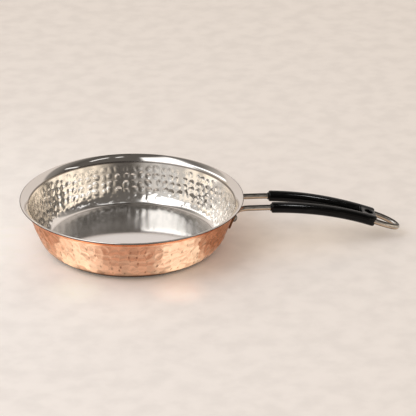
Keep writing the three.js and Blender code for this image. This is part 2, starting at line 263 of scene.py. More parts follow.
class HammerMarks(bpy.types.PropertyGroup):
    """Rows of hammer marks on both sides of the wall."""

    outside_pitch: length("Outside pitch", 8.9 * MM, "Spacing of the marks in a row on the copper")
    outside_row_gap: length("Outside row gap", 7.7 * MM, "Spacing of the rows on the copper")
    outside_radius: length("Outside radius", 5.4 * MM, "Radius of a mark on the copper")
    outside_depth: length("Outside depth", 0.7 * MM, "Depth of a mark on the copper")
    outside_top: length("Outside top row", 7.8 * MM, "Top row of marks, below the shoulder")
    outside_rows: whole("Outside rows", 5, "Rows of marks on the copper")
    outside_scatter: fraction("Outside scatter", 0.17, "How far a mark strays, as a share of the spacing")
    inside_pitch: length("Inside pitch", 8.6 * MM, "Spacing of the marks in a row on the steel")
    inside_row_gap: length("Inside row gap", 7.7 * MM, "Spacing of the rows on the steel")
    inside_radius: length("Inside radius", 3.8 * MM, "Radius of a mark on the steel")
    inside_depth: length("Inside depth", 0.40 * MM, "Depth of a mark on the steel")
    inside_top: length("Inside top row", 7.6 * MM, "Top row of marks, below the shoulder")
    inside_rows: whole("Inside rows", 5, "Rows of marks on the steel")
    inside_scatter: fraction("Inside scatter", 0.11, "How far a mark strays, as a share of the spacing")
    nick_depth: length("Nick depth", 0.2 * MM, "Depth of the nick between two marks on the copper")
    seed: whole("Seed", 7, "Start of the random places of the marks")


class WireHandle(bpy.types.PropertyGroup):
    """Sizes of the bent wire and of its hammered ends."""

    rod_radius: length("Rod radius", 3 * MM, "Radius of the round wire")
    rod_below_shoulder: length("Rod below shoulder", 0.5 * MM, "Gap from the shoulder down to the rod")
    rod_half_spacing: length("Rod half spacing", 15.4 * MM, "Half the space between the rods at the pan")
    loop_half_spacing: length("Loop half spacing", 10.8 * MM, "Half the space between them at the loop")
    arch_start: length("Arch start", 138 * MM, "Start of the arch, from the pan's centre")
    arch_radius: length("Arch radius", 350 * MM, "Radius of the long arch, seen from the side")
    arch_length: length("Arch length", 131 * MM, "Length of the arch, up to the loop")
    loop_length: length("Loop length", 23.7 * MM, "Length of the oval loop past the arch")
    bend_reach: length("Bend reach", 13 * MM, "Reach of the bend along the rod")
    bend_fall: length("Bend fall", 7 * MM, "Reach of the bend down the wall")
    paddle_width: length("Paddle width", 11 * MM, "Width of the hammered end")
    paddle_thickness: length("Paddle thickness", 2.2 * MM, "Thickness of the hammered end")
    paddle_tail: length("Paddle tail", 13.2 * MM, "Length of the hammered end below the rivet")


class MouldedGrip(bpy.types.PropertyGroup):
    """Sizes of the twin grip."""

    start: length("Start", 9.6 * MM, "Distance along the arch to the start of the grip")
    length: length("Length", 117.9 * MM, "Length of the grip along the arch")
    radius: length("Radius", 5.9 * MM, "Radius of a leg")
    neck_length: length("Neck length", 1 * MM, "Length of the narrow neck at the start of a leg")
    neck_wall: length("Neck wall", 0.5 * MM, "Wall of the neck")
    shoulder_length: length("Shoulder length", 2 * MM, "Length over which a leg swells from its neck")
    corner_radius: length("Corner radius", 7.5 * MM, "Rounding of the far corners, seen from above")
    end_round: length("End rounding", 2.2 * MM, "Rounding of the edges of the far end")
    bridge_length: length("Bridge length", 16.5 * MM, "Length of the flat bridge between the legs")
    bridge_thickness: length("Bridge thickness", 10 * MM, "Thickness of the bridge")
    bridge_round: length("Bridge rounding", 1.2 * MM, "Rounding of the bridge's edges")
    hole_radius: length("Hole radius", 4.7 * MM, "Radius of the hanging hole")
    blend: length("Blend", 1.4 * MM, "Fillet between the bridge and the legs")


class RivetPair(bpy.types.PropertyGroup):
    """Sizes of the two rivets."""

    drop: length("Drop", 14.6 * MM, "Height of the rivets below the shoulder")
    shank_radius: length("Shank radius", 2.5 * MM, "Radius of the shank")
    head_radius: length("Head radius", 4.2 * MM, "Radius of the domed head on the outside")
    head_height: length("Head height", 3.2 * MM, "Height of the domed head on the outside")
    tail_radius: length("Tail radius", 4.6 * MM, "Radius of the low head on the inside")
    tail_height: length("Tail height", 1.8 * MM, "Height of the low head on the inside")


class Finishes(bpy.types.PropertyGroup):
    """Colours of the pan's finishes."""

    copper: colour("Copper", (0.93, 0.478, 0.298), "Polished copper")
    copper_dark: colour("Dark copper", (0.66, 0.29, 0.17), "Copper where it has toned down")
    copper_edge: colour("Copper edge", (0.97, 0.76, 0.63), "Copper seen at a glancing angle")
    # Painted shade in the nicks between two marks
    copper_nick_shade: colour("Copper nick", (0.28, 0.10, 0.05), "Copper in the nicks between two marks")
    # Very dark: the bead under the rim's edge, and painted shade along the shoulder line
    seam: colour("Seam", (0.05, 0.03, 0.02), "Tarnished bead under the edge of the rim")
    steel: colour("Steel", (0.76, 0.72, 0.68), "Mirror steel of the lip")
    wall: colour("Wall", (0.92, 0.885, 0.845), "Bright steel of the hammered wall")
    satin: colour("Satin steel", (0.565, 0.555, 0.54), "Dull steel of the floor")
    # Painted sheen: brighter steel in a disc at the front of the floor
    painted_sheen: colour("Rubbed steel", (0.82, 0.805, 0.80), "Steel of the floor where it is rubbed bright")
    wire: colour("Wire", (0.66, 0.625, 0.58), "Drawn steel of the handle")
    # Painted reflection of the floor on the wire's underside
    wire_floor_reflection: colour("Wire underside", (0.78, 0.60, 0.44), "Warmer steel on the underside of the wire")
    # Painted shade on the wire's top and bottom
    wire_edge_shade: colour("Wire edge", (0.05, 0.045, 0.04), "Dark scale on the wire's top and bottom")
    # Painted reflection of the copper on the wire's hammered ends
    wire_copper_reflection: colour("Wire heat", (0.36, 0.17, 0.085), "Heat tint of the wire's hammered ends")
    grip: colour("Grip", (0.0015, 0.0015, 0.0015), "Black moulded plastic")
    rivet: colour("Rivet", (0.30, 0.285, 0.26), "Rivet steel")
    core: colour("Core", (0.70, 0.71, 0.72), "Milled aluminium")


class StageLook(bpy.types.PropertyGroup):
    """The floor, the light and the camera."""

    floor: colour("Floor", (0.855, 0.84, 0.81), "Pale floor")
    foot_shade: colour("Foot shade", (0.03, 0.012, 0.006), "Floor at the pan's foot, as metal shows it")
    # Painted gleam on the floor that only metal shows
    painted_floor_gleam: colour("Floor gleam", (0.88, 1.36, 1.50), "Copper light on the floor, seen in metal")
    backdrop: colour("Backdrop", (0.84, 0.77, 0.72), "Pale room behind the pan")
    card: colour("Card", (1.34, 1.17, 0.96), "Cream cards to both sides, as metal shows them")
    side: colour("Side", (0.70, 0.655, 0.605), "Grey room to the left of the camera, as metal shows it")
    shade: colour("Shade", (0.08, 0.07, 0.06), "Dark gap behind the camera, as metal shows it")
    ceiling: colour("Ceiling", (0.13, 0.12, 0.11), "Dim ceiling, as metal shows it")
    corner: colour("Corner", (0.02, 0.018, 0.016), "Dark corner of the ceiling, as metal shows it")
    ambient: colour("Ambient", (0.82, 0.72, 0.64), "Light from all round")
    floor_radius: length("Floor radius", 6, "Radius of the floor")
    distance: length("Camera distance", 2.4, "Distance from the camera to its target")
    elevation: angle("Camera elevation", 24.22, "Height of the camera above the horizon")
    turn: angle("Camera turn", -4.5, "Turn of the camera round the pan")
    lens: amount("Lens", 193.58, "Focal length", unit="CAMERA")
    target: FloatVectorProperty(
        name="Target", default=(0.08132, -0.0064, 0.04222), description="Mid frame", subtype="XYZ"
    )
    key_tint: colour("Key tint", (0.79, 0.86, 1.0), "Colour of the key light")
    key_power: amount("Key power", 6.7, "Power of the key light", unit="POWER")
    left_gleam: amount("Left gleam", 9, "Power of the lamp for the grip's left end", unit="POWER")
    top_gleam: amount("Top gleam", 3.2, "Power of the lamp for the grip's top", unit="POWER")
    key_gleam: amount("Key gleam", 2.05, "Brightness of the key in metal")
    spark_gleam: amount("Spark gleam", 1.5, "Brightness of small lamps in metal")


class Lead:
    """A socket of a node tree. Arithmetic on it adds the Math nodes that work it out."""

    def __init__(self, board, socket):
        self.board = board
        self.socket = socket

    def math(self, operation, first, second):
        return self.board.lead("ShaderNodeMath", {"operation": operation}, {0: first, 1: second})

    def __add__(self, other):
        return self.math("ADD", self, other)

    def __radd__(self, other):
        return self.math("ADD", other, self)

    def __sub__(self, other):
        return self.math("SUBTRACT", self, other)

    def __rsub__(self, other):
        return self.math("SUBTRACT", other, self)

    def __mul__(self, other):
        return self.math("MULTIPLY", self, other)

    def __rmul__(self, other):
        return self.math("MULTIPLY", other, self)

    def __neg__(self):
        return self.math("MULTIPLY", self, -1.0)

    def __abs__(self):
        return self.math("ABSOLUTE", self, 0.0)

    def ramp(self, low, high):
        """0 at low, 1 at high, and a smooth step between them."""
        limits = {"Value": self, "From Min": low, "From Max": high}
        return self.board.lead("ShaderNodeMapRange", {"interpolation_type": "SMOOTHSTEP"}, limits)

    def band(self, start, low, high, end):
        """1 from low to high, and 0 up to start and from end on."""
        return self.ramp(start, low) * (1 - self.ramp(high, end))


class Board:
    """A node tree that is filled node by node."""

    def __init__(self, tree):
        self.tree = tree
        tree.nodes.clear()

    def node(self, kind, settings=None, sockets=None):
        """Add a node: its settings first, then the values or leads of its sockets. Colours are opaque."""
        made = self.tree.nodes.new(kind)
        for name, value in (settings or {}).items():
            setattr(made, name, value)
        for key, value in (sockets or {}).items():
            socket = find_socket(made.inputs, key)
            if isinstance(value, Lead):
                self.tree.links.new(value.socket, socket)
            else:
                socket.default_value = (*value, 1.0) if socket.type == "RGBA" else value
        return made

    def lead(self, kind, settings=None, sockets=None, output=0):
        return Lead(self, find_socket(self.node(kind, settings, sockets).outputs, output))

    def mix(self, factor, first, second, blend="MIX"):
        """One colour, changing to another with a factor."""
        settings = {"data_type": "RGBA", "blend_type": blend}
        sockets = {"Factor_Float": factor, "A_Color": first, "B_Color": second}
        return self.lead("ShaderNodeMix", settings, sockets, "Result_Color")

    def place(self):
        return self.lead("ShaderNodeTexCoord", output="Object")

    def attribute(self, name, output="Fac"):
        """A value that the vertices of a piece carry."""
        return self.lead("ShaderNodeAttribute", {"attribute_name": name}, None, output)

    def vector_math(self, operation, vector, other, output):
        return self.lead("ShaderNodeVectorMath", {"operation": operation}, {0: vector, 1: other}, output)

    def dot(self, vector, other):
        return self.vector_math("DOT_PRODUCT", vector, other, "Value")

    def gap(self, vector, other):
        return self.vector_math("DISTANCE", vector, other, "Value")

    def stretch(self, vector, scale):
        return self.vector_math("MULTIPLY", vector, scale, "Vector")

    def noise(self, vector, scale, detail=3):
        sockets = {"Vector": vector, "Scale": scale, "Detail": detail}
        return self.lead("ShaderNodeTexNoise", None, sockets)

    def streaks(self, vector, scale, detail):
        """Noise that is finer along some axes than along others."""
        return self.noise(self.stretch(vector, scale), 1.0, detail)

    def bump(self, height, distance):
        return self.lead("ShaderNodeBump", None, {"Height": height, "Distance": distance}, "Normal")

    def shade(self, sockets):
        """Feed one shader and show it."""
        shader = self.lead("ShaderNodeBsdfPrincipled", None, sockets)
        self.node("ShaderNodeOutputMaterial", None, {"Surface": shader})


def find_socket(sockets, key):
    """A socket by its place, its identifier or its name."""
    if isinstance(key, int):
        return sockets[key]
    for socket in sockets:
        if socket.identifier == key:
            return socket
    return sockets[key]


def new_finish(name):
    """An empty material and the board of its nodes."""
    material = bpy.data.materials.new(name)
    material.use_nodes = True
    return material, Board(material.node_tree)


def scaled(tint, by):
    """A colour made lighter or darker."""
    return tuple(by * part for part in tint)


def hammered_copper(finishes):
    """Polished copper: toned in patches, with fine polishing lines that run round the pan and painted
    shade in the nicks between the hammer marks.
    """
    material, board = new_finish("hammered copper")
    place = board.place()
    dent = board.attribute("dent")
    nick = board.attribute("nick")
    patches = board.noise(place, 38).ramp(0.42, 0.72)
    lines = board.streaks(place, (260, 260, 2600), 4)
    toned = board.mix(patches * 0.28 + dent * 0.12, finishes.copper, finishes.copper_dark)
    board.shade({
        # Painted shade in the nicks
        "Base Color": board.mix(nick, toned, finishes.copper_nick_shade),
        "Metallic": 1.0,
        "Specular Tint": finishes.copper_edge,
        "Roughness": 0.11 + lines * 0.08 + patches * 0.05,
        "Normal": board.bump(lines, 0.03 * MM),
    })
    return material


def lined_steel(finishes):
    """Steel of the liner: mirror lip, bright hammered wall and a rubbed satin floor with a painted sheen
    at its front, and painted shade along the shoulder line.
    """
    material, board = new_finish("lined steel")
    place = board.place()
    satin = board.attribute("satin")
    hammered = board.attribute("hammered")
    seam = board.attribute("seam")
    rubs = board.streaks(place, (500, 60, 60), 4)
    cloud = board.noise(place, 30)
    from_rubbed_and_sheen = board.gap(place, RUBBED_AND_SHEEN_CENTRE)
    dull = from_rubbed_and_sheen.ramp(*RUBBED_GLOSS_EDGE) * (0.10 + cloud * 0.06)
    bright = board.mix(hammered, finishes.steel, finishes.wall)
    # Painted sheen: the floor's steel turns brighter in a disc at its front
    floor = board.mix(from_rubbed_and_sheen.ramp(*PAINTED_SHEEN_EDGE), finishes.painted_sheen, finishes.satin)
    bright = board.mix(satin, bright, floor)
    board.shade({
        # Painted shade along the shoulder line, and the very dark bead under the rim's edge
        "Base Color": board.mix(seam, bright, finishes.seam),
        "Metallic": 1.0,
        "Roughness": 0.05 + hammered * 0.08 + seam * 0.3 + satin * (dull + rubs * 0.03),
        "Normal": board.bump(rubs * satin, 0.003 * MM),
    })
    return material


def drawn_steel(finishes):
    """Drawn wire: scratches along it, painted shade on its top and bottom and on the edges of its
    hammered ends, and painted reflections of the floor underneath and of the copper at its ends.
    """
    material, board = new_finish("drawn steel")
    run = board.attribute("run", "Vector")
    below = board.dot(run, (0, 0, 1))
    heat = board.attribute("heat")
    scratches = board.streaks(run, (160, 1500, 1500), 5)
    dull = board.streaks(run, (120, 300, 300), 3).ramp(0.4, 0.7)
    dark = scaled(finishes.wire, 0.25)
    tint = board.mix(scratches.ramp(0.45, 0.65) * 0.7, finishes.wire, dark)
    # Painted reflection of the floor on the underside
    tint = board.mix(below.ramp(*WIRE_FLOOR_REFLECTION), tint, finishes.wire_floor_reflection)
    # Painted reflection of the copper on the hammered ends and their bends, fading on the underside
    copper_reflection = heat.ramp(0, 0.5) * (0.75 + scratches * 0.4) * (1 - below.ramp(*WIRE_COPPER_REFLECTION_FADE) * 0.5)
    tint = board.mix(copper_reflection, tint, finishes.wire_copper_reflection)
    aside = abs(board.dot(run, (0, 1, 0)))
    # Painted shade on the edges of the hammered ends
    edge_shade_tint = scaled(finishes.wire_copper_reflection, 0.55)
    tint = board.mix(aside.ramp(*PADDLE_EDGE_SHADE), tint, edge_shade_tint)
    # Painted shade along the wire's top and bottom
    edge = below.ramp(*WIRE_BOTTOM_SHADE) + (-below).ramp(*WIRE_TOP_SHADE)
    board.shade({
        "Base Color": board.mix(edge, tint, finishes.wire_edge_shade),
        "Metallic": 1.0,
        "Roughness": 0.20 + scratches * 0.16 + dull * 0.10,
        "Normal": board.bump(scratches, 0.06 * MM),
    })
    return material


def black_moulding(finishes):
    """Glossy black plastic with a faint moulded grain and soft scuffs."""
    material, board = new_finish("black moulding")
    place = board.place()
    grain = board.noise(place, 900, 2)
    scuffs = board.streaks(place, (60, 420, 420), 4).ramp(0.55, 0.8)
    worn = tuple(part + SCUFF_LIFT for part in finishes.grip)
    board.shade({
        "Base Color": board.mix(scuffs, finishes.grip, worn),
        "Roughness": 0.08 + scuffs * 0.14 + grain * 0.04,
        "Specular IOR Level": 0.22,
        "Normal": board.bump(grain, 0.02 * MM),
    })
    return material


def rivet_steel(finishes):
    """Pressed rivet steel with darker stains, and the low head inside in the wall's bright steel."""
    material, board = new_finish("rivet steel")
    place = board.place()
    marks = board.noise(place, 700, 4)
    stain = board.noise(place, 260, 3).ramp(0.45, 0.75)
    dark = scaled(finishes.rivet, 0.5)
    tint = board.mix(stain * 0.5, finishes.rivet, dark)
    board.shade({
        "Base Color": board.mix(board.attribute("inside"), tint, finishes.wall),
        "Metallic": 1.0,
        "Roughness": 0.16 + marks * 0.16,
        "Normal": board.bump(marks, 0.03 * MM),
    })
    return material


def milled_aluminium(finishes):
    """Plain milled aluminium, with rings left by the cutter."""
    material, board = new_finish("milled aluminium")
    place = board.place()
    about_axis = {"wave_type": "RINGS", "rings_direction": "Z"}
    rings = board.lead("ShaderNodeTexWave", about_axis, {"Vector": place, "Scale": 180})
    cloud = board.noise(place, 40)
    dark = scaled(finishes.core, 0.8)
    board.shade({
        "Base Color": board.mix(cloud, finishes.core, dark),
        "Metallic": 1.0,
        "Roughness": 0.36 + rings * 0.12,
        "Normal": board.bump(rings, 0.02 * MM),
    })
    return material


def pale_floor(stage):
    """Matt pale floor with a faint cloudy tone, painted light that only the camera sees, and painted
    gleams that only metal shows.
    """
    material, board = new_finish("pale floor")
    place = board.place()
    glossy = board.lead("ShaderNodeLightPath", output="Is Glossy Ray")
    camera = board.lead("ShaderNodeLightPath", output="Is Camera Ray")
    light, dark, deep = (scaled(stage.floor, by) for by in FLOOR_TONES)
    cloud = board.noise(place, 40, 9).ramp(0.3, 0.65)
    mottle = board.noise(place, 90, 2).ramp(0.35, 0.65)
    tone = board.mix(cloud, dark, light)
    tone = board.mix(mottle * glossy, tone, deep)
    from_pan = board.gap(place, (0, 0, 0))
    clear = from_pan.ramp(*FOOT_SHADE)
    broken = 0.35 + board.noise(place, 75, 2).ramp(0.40, 0.56)
    ring_left = 1 - board.dot(place, (1, 0, 0)).ramp(*FLOOR_RING_END)
    # Painted gleam that only metal shows: a ring and two patches near the pan
    painted_gleam = from_pan.band(*FLOOR_RING) * ring_left * FLOOR_RING_STRENGTH
    for centre in FLOOR_PATCHES:
        nearness = 1 - board.gap(place, centre).ramp(*FLOOR_PATCH_REACH)
        painted_gleam = painted_gleam + nearness * broken
    glow = board.mix(painted_gleam * glossy * clear, (0, 0, 0), stage.painted_floor_gleam)
    # Painted light that only the camera sees
    for centre, reach, strength in GLOWS:
        nearness = 1 - board.gap(place, centre).ramp(0, reach)
        glow = board.mix(nearness * camera, glow, strength, "ADD")
    board.shade({
        "Base Color": board.mix((1 - clear) * glossy, tone, stage.foot_shade),
        "Roughness": 0.75,
        "Specular IOR Level": 0.2,
        "Emission Color": glow,
        "Emission Strength": 1.0,
    })
    return material


def outward(lean):
    """Normal of a wall that leans out by an angle from upright, as (radius, height)."""
    return np.array([math.cos(lean), -math.sin(lean)])


def upward(lean):
    """Direction up a wall that leans out by an angle from upright, as (radius, height)."""
    return np.array([math.sin(lean), math.cos(lean)])


def line(start, end, step):
    """Points on a straight line."""
    count = max(1, math.ceil(np.linalg.norm(np.subtract(end, start)) / step))
    share = np.linspace(0, 1, count + 1)[:, None]
    return np.asarray(start) * (1 - share) + np.asarray(end) * share


def arc(centre, radius, start, end, step):
    """Points on an arc."""
    count = max(3, math.ceil(abs(end - start) * radius / step))
    turn = np.linspace(start, end, count + 1)
    return centre + radius * np.stack([np.cos(turn), np.sin(turn)], axis=1)


def bezier(start, corner, end, count):
    """Points on a curve that leaves towards a corner and arrives from it."""
    share = np.linspace(0, 1, count + 1)[:, None]
    start, corner, end = (np.asarray(point) for point in (start, corner, end))
    return start * (1 - share) ** 2 + 2 * corner * share * (1 - share) + end * share ** 2


class PanSection:
    """Section of the pan: curves of (radius, height) at a depth inside the copper."""

    def __init__(self, body):
        self.body = body
        self.tilt = body.wall_tilt
        self.centre = np.array([body.base_radius, body.foot_fillet])
        foot = self.centre + body.foot_fillet * outward(self.tilt)
        climb = body.shoulder_height - foot[1]
        self.shoulder = np.array([foot[0] + climb * math.tan(self.tilt), body.shoulder_height])
        lip_width = body.rim_radius - self.shoulder[0]
        self.lip_start = math.atan2(lip_width, body.lip_rise) - body.lip_sweep / 2
        self.lip_radius = math.hypot(lip_width, body.lip_rise) / (2 * math.sin(body.lip_sweep / 2))
        self.lip_length = self.lip_radius * body.lip_sweep
        self.lip_centre = self.shoulder + outward(self.lip_start) * self.lip_radius
        self.liner_depth = body.copper_thickness + body.clearance
        self.inside_depth = self.liner_depth + body.steel_thickness
        self.floor_under = LINER_LOW.z
        self.floor_top = LINER_LOW.z + body.steel_thickness

    def wall_radius(self, height):
        """Radius of the outer wall at a height."""
        return self.shoulder[0] - (self.shoulder[1] - height) * math.tan(self.tilt)

    def lip_point(self, depth, reach):
        """A point on the lip at a depth inside the copper and a reach from the shoulder."""
        lean = self.lip_start + reach / self.lip_radius
        return self.lip_centre - outward(lean) * (self.lip_radius + depth)

    def layer(self, depth, from_height, reach, step):
        """Points from a height on the foot fillet to the lip, and how far below the shoulder each is."""
        radius = self.body.foot_fillet - depth
        start = math.asin((from_height - self.centre[1]) / radius)
        foot = arc(self.centre, radius, start, -self.tilt, step)
        bend_radius = self.body.shoulder_bend
        tangent = bend_radius * math.tan((self.lip_start - self.tilt) / 2)
        bend_centre = self.shoulder - upward(self.tilt) * tangent + outward(self.tilt) * bend_radius
        turn = (math.pi - self.tilt, math.pi - self.lip_start)
        bend = arc(bend_centre, bend_radius + depth, *turn, step / 2)
        wall = line(foot[-1], bend[0], step)
        first, last = (math.pi - self.lip_start - out / self.lip_radius for out in (tangent, reach))
        lip = arc(self.lip_centre, self.lip_radius + depth, first, last, step)
        points = np.concatenate([foot, wall[1:], bend[1:], lip[1:]])
        distance = path_length(points)
        below = distance[len(foot) + len(wall) - 2] - distance
        return points, below


def path_length(points):
    """Distance along a row of points."""
    steps = np.linalg.norm(np.diff(points, axis=0), axis=1)
    return np.concatenate([[0], np.cumsum(steps)])


def mark_sizes(marks, side):
    """Sizes of the hammer marks on the outside or the inside."""
    names = ("pitch", "row_gap", "radius", "depth", "top", "rows", "scatter")
    return {name: getattr(marks, f"{side}_{name}") for name in names}


def hammer_marks(below, radii, seed, pitch, row_gap, radius, depth, top, rows, scatter):
    """Depth of staggered hammer marks on a turned wall, and how strong the nicks between them are."""
    rng = np.random.default_rng(seed)
    turn = np.arange(TURN_STEPS) * 2 * math.pi / TURN_STEPS
    marks = np.zeros((len(below), TURN_STEPS))
    nicks = np.zeros_like(marks)
    for row in range(rows):
        row_place = top + row * row_gap
        row_radius = np.interp(row_place, below[::-1], radii[::-1])
        count = round(2 * math.pi * row_radius / pitch)
        for mark in range(count):
            place = row_place + rng.normal(0, scatter) * pitch
            around = (mark + row / 2 + rng.normal(0, scatter)) * 2 * math.pi / count
            size = radius * rng.uniform(*MARK_SIZE)
            deep = depth * rng.uniform(*MARK_DEPTH) * (END_ROW_DEPTH if row in (0, rows - 1) else 1)
            lean_across, lean_down = rng.uniform(-MARK_LEAN, MARK_LEAN, 2)
            oval = rng.uniform(1, MARK_OVAL)
            spin = rng.uniform(0, math.pi)
            near = np.flatnonzero(np.abs(below - place) < size * MARK_OVAL)
            aside = (turn - around + math.pi) % (2 * math.pi) - math.pi
            beside = np.flatnonzero(np.abs(aside) * row_radius < size * MARK_OVAL)
            across = aside[beside][None, :] * radii[near][:, None] / size
            down = ((below[near] - place) / size)[:, None]
            wide = (across * math.cos(spin) + down * math.sin(spin)) / oval
            high = (down * math.cos(spin) - across * math.sin(spin)) * oval
            cap = deep * (1 - wide ** 2 - high ** 2) * (1 + lean_across * across + lean_down * down)
            window = np.ix_(near, beside)
            marks[window] = np.maximum(marks[window], cap)
            edge = (across + pitch / 2 / size) * size / NICK_WIDTH
            strength = np.clip(rng.uniform(*NICK_STRENGTH), 0, 1)
            nick = strength * np.exp(-edge ** 2 - (down * size / NICK_LENGTH) ** 2)
            nicks[window] = np.maximum(nicks[window], nick)
    return marks, nicks


def add_mesh(name, points, faces):
    """A smooth mesh object in the scene."""
    mesh = bpy.data.meshes.new(name)
    mesh.from_pydata(np.asarray(points).tolist(), [], faces, shade_flat=False)
    mesh.update()
    piece = bpy.data.objects.new(name, mesh)
    bpy.context.scene.collection.objects.link(piece)
    return piece


def add_value(piece, name, values):
    """A value for each vertex, which the piece's finish reads."""
    layer = piece.data.attributes.new(name, "FLOAT", "POINT")
    layer.data.foreach_set("value", np.ascontiguousarray(values, dtype=np.float32).ravel())


def add_vector(piece, name, values):
    """A vector for each vertex, which the piece's finish reads."""
    layer = piece.data.attributes.new(name, "FLOAT_VECTOR", "POINT")
    layer.data.foreach_set("vector", np.ascontiguousarray(values, dtype=np.float32).ravel())


def ring_faces(rings, sides):
    """Quads between rings of points, in order."""
    here = np.arange(rings - 1)[:, None] * sides + np.arange(sides)[None, :]
    beside = np.arange(rings - 1)[:, None] * sides + (np.arange(sides)[None, :] + 1) % sides
    return np.stack([here, beside, beside + sides, here + sides], axis=2).reshape(-1, 4).tolist()


def turned(name, profile, sides, lift=None):
    """Turn a profile about Z. It starts and ends on the axis, and lift moves its points outward."""
    profile = np.asarray(profile)
    run = np.gradient(profile, axis=0)
    run /= np.linalg.norm(run, axis=1, keepdims=True)
    lift = np.zeros((len(profile), sides)) if lift is None else lift
    ring = slice(1, -1)
    radius = profile[ring, 0, None] + lift[ring] * run[ring, 1, None]
    height = profile[ring, 1, None] - lift[ring] * run[ring, 0, None]
    turn = np.arange(sides) * 2 * math.pi / sides
    points = np.stack([radius * np.cos(turn), radius * np.sin(turn), height], axis=2).reshape(-1, 3)
    rings = len(profile) - 2
    low = len(points)
    last = (rings - 1) * sides
    points = np.concatenate([points, [[0, 0, profile[0, 1]], [0, 0, profile[-1, 1]]]])
    faces = ring_faces(rings, sides)
    for side in range(sides):
        beside = (side + 1) % sides
        faces.append((low, beside, side))
        faces.append((last + side, last + beside, low + 1))
    return add_mesh(name, points, faces)


def spread(rows, sides):
    """One value for each vertex of a turned piece, from one row of values or from a grid."""
    grid = np.broadcast_to(rows if rows.ndim == 2 else rows[:, None], (len(rows), sides))
    return np.concatenate([grid[1:-1].ravel(), [grid[0, 0], grid[-1, 0]]])


def dress(piece, material, slot, *nodes):
    """Give a piece its finish, hang it on the body and hide the CAD nodes it stands for."""
    piece.data.materials.append(material)
    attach(piece, BODY)
    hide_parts(*nodes)


def copper_shell(body, marks):
    """The copper, hammered on the outside."""
    section = PanSection(body)
    reach = section.lip_length - body.steel_thickness - body.clearance
    outer, below = section.layer(0, 0, reach, FINE_STEP)
    thickness = body.copper_thickness
    inner, _ = section.layer(thickness, thickness, reach, COARSE_STEP)
    base = line((0, 0), outer[0], COARSE_STEP)[:-1]
    profile = np.concatenate([base, outer, inner[::-1], [(0, thickness)]])
    hammered = slice(len(base), len(base) + len(outer))
    dents = np.zeros((len(profile), TURN_STEPS))
    nicks = np.zeros_like(dents)
    sizes = mark_sizes(marks, "outside")
    dents[hammered], nicks[hammered] = hammer_marks(below, outer[:, 0], marks.seed, **sizes)
    piece = turned("hammered_copper_shell", profile, TURN_STEPS, -dents - nicks * marks.nick_depth)
    add_value(piece, "dent", spread(dents / marks.outside_depth, TURN_STEPS))
    add_value(piece, "nick", spread(nicks, TURN_STEPS))
    return piece


def rim_edge(section, body):
    """The rim's edge, from inside the lip: a rounded corner, then a bead that stands out below it."""
    corner, radius = body.hem_round, body.seam_radius
    face = section.lip_length - body.seam_step

    def rounding(depth, reach, size, end, steps):
        turns = np.linspace(math.pi / 2, end, steps + 1)
        return [
            section.lip_point(depth + size * math.sin(turn), reach + size * math.cos(turn))
            for turn in turns
        ]

    hem = rounding(section.inside_depth - corner, face - corner, corner, 0, HEM_STEPS)
    hem.append(section.lip_point(2 * radius, face))
    bead = rounding(radius, section.lip_length - radius, radius, -math.pi / 2, BEAD_STEPS)
    return np.array(hem), np.array(bead)


def steel_liner(body, marks):
    """The liner: a flat floor, a wall hammered on the inside and a smooth lip over the copper's edge."""
    section = PanSection(body)
    reach = section.lip_length - body.seam_step - body.hem_round
    inner, below = section.layer(section.inside_depth, section.floor_top, reach, FINE_STEP)
    crease = inner[0]
    ease = body.crease_round
    kept = path_length(inner) > ease
    inner, below = inner[kept], below[kept]
    fillet = bezier((crease[0] - ease, crease[1]), crease, inner[0], CREASE_STEPS)[:-1]
    floor = line((0, section.floor_top), fillet[0], COARSE_STEP)[:-1]
    tuck = section.lip_length - body.steel_thickness
    outer, _ = section.layer(section.liner_depth, section.floor_under, tuck, COARSE_STEP)
    hem, bead = rim_edge(section, body)
    edge = np.array([section.lip_point(0, tuck)])
    inside = np.concatenate([floor, fillet, inner, hem[1:]])
    profile = np.concatenate([inside, bead, edge, outer[::-1], [(0, section.floor_under)]])
    first = len(floor) + len(fillet)
    wall = slice(first, first + len(inner))
    dents = np.zeros((len(profile), TURN_STEPS))
    sizes = mark_sizes(marks, "inside")
    dents[wall], _ = hammer_marks(below, inner[:, 0], marks.seed + 1, **sizes)
    seam, satin, hammered = np.zeros((3, len(profile)))
    seam[len(inside):len(inside) + len(bead)] = 1
    # Painted shade along the shoulder line
    seam[wall] = SHOULDER_SHADE * ((below < TOLERANCE) & (below > -SHOULDER_LINE))
    satin[:len(floor) + CREASE_STEPS // 2] = 1
    hammered[wall] = below > 0
    piece = turned("hammered_steel_liner", profile[::-1], TURN_STEPS, -dents[::-1])
    for name, values in (("seam", seam), ("satin", satin), ("hammered", hammered)):
        add_value(piece, name, spread(values[::-1], TURN_STEPS))
    return piece


